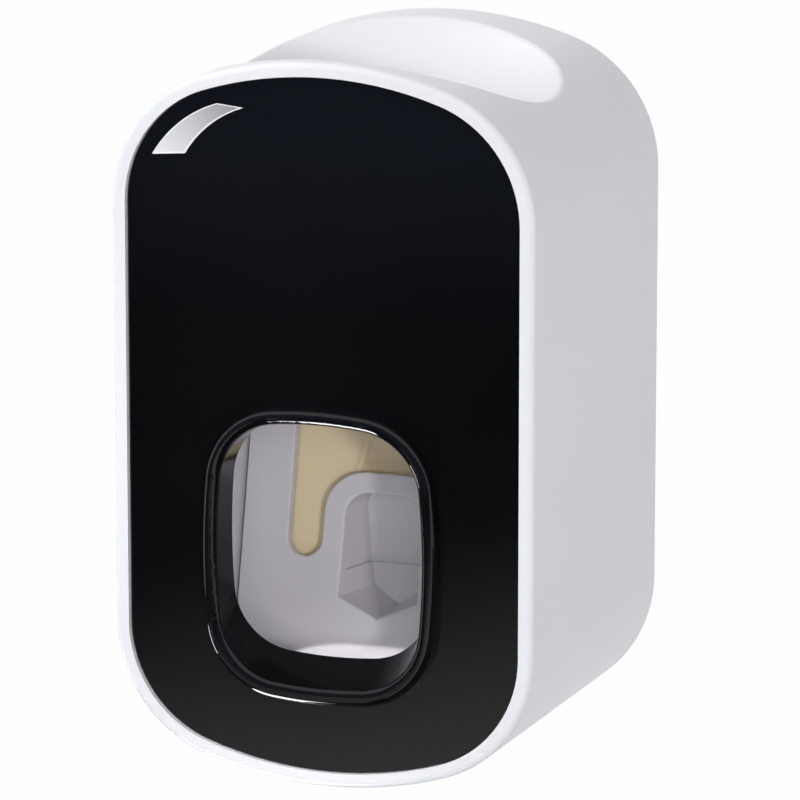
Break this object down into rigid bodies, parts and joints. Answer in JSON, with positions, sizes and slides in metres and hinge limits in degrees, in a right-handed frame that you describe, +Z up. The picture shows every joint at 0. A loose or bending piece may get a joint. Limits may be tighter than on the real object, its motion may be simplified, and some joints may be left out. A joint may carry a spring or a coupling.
{
  "type": "toothpaste dispenser",
  "caption": "Wall-hung toothpaste dispenser: upright rounded casing with a dished tube port on top and a front window where a swinging pusher pumps paste onto a brush.",
  "frame": {"origin": "centre of the adhesive pad's wall face", "axes": "+X to the right seen from the front, +Y into the wall, +Z up; the front panel faces -Y"},
  "size_m": [0.061, 0.0546, 0.1],
  "materials": {
    "casing_white": "moulded white ABS, fine satin gloss",
    "panel_black": "high-gloss black ABS",
    "foil_silver": "brushed silver foil inlay",
    "chamber_white": "moulded white polypropylene",
    "pusher_white": "moulded off-white polypropylene",
    "head_white": "moulded white polypropylene",
    "silicone_beige": "soft beige silicone rubber",
    "silicone_clear": "milky silicone rubber",
    "steel": "stainless steel",
    "plate_white": "moulded white ABS",
    "pad_foam": "white acrylic foam tape"
  },
  "bodies": {
    "wall_mount": {"wall_plate": "plate_white", "adhesive_pad": "pad_foam"},
    "casing": {"outer_casing": "casing_white", "brush_chamber": "chamber_white", "hinge_pin": "steel", "pin_clips": "steel", "pump_bladder": "silicone_beige", "bladder_clip": "head_white", "return_spring": "steel", "pump_head": "head_white", "port_gasket": "silicone_clear", "tube_sleeve": "silicone_beige", "inlet_valve": "silicone_clear", "outlet_valve": "silicone_clear", "outlet_nozzle": "head_white", "head_screws": "steel", "chamber_screws": "steel"},
    "front_panel": {"front_panel": "panel_black", "corner_accent": "foil_silver"},
    "pusher": {"swing_pusher": "pusher_white"}
  },
  "joints": [
    {"name": "casing_lift", "type": "slide", "parent": "wall_mount", "child": "casing", "axis": [0, 0, 1], "range_m": [0, 0.008]},
    {"name": "panel_pull", "type": "slide", "parent": "casing", "child": "front_panel", "axis": [0, -1, 0], "range_m": [0, 0.02]},
    {"name": "pusher_swing", "type": "hinge", "parent": "casing", "child": "pusher", "pos_m": [0, -0.02432, -0.017], "axis": [1, 0, 0], "range_deg": [0, 12], "stiffness_Nm_per_rad": 0.25, "springref_deg": -8.59, "deforming": ["pump_bladder", "return_spring"]}
  ]
}
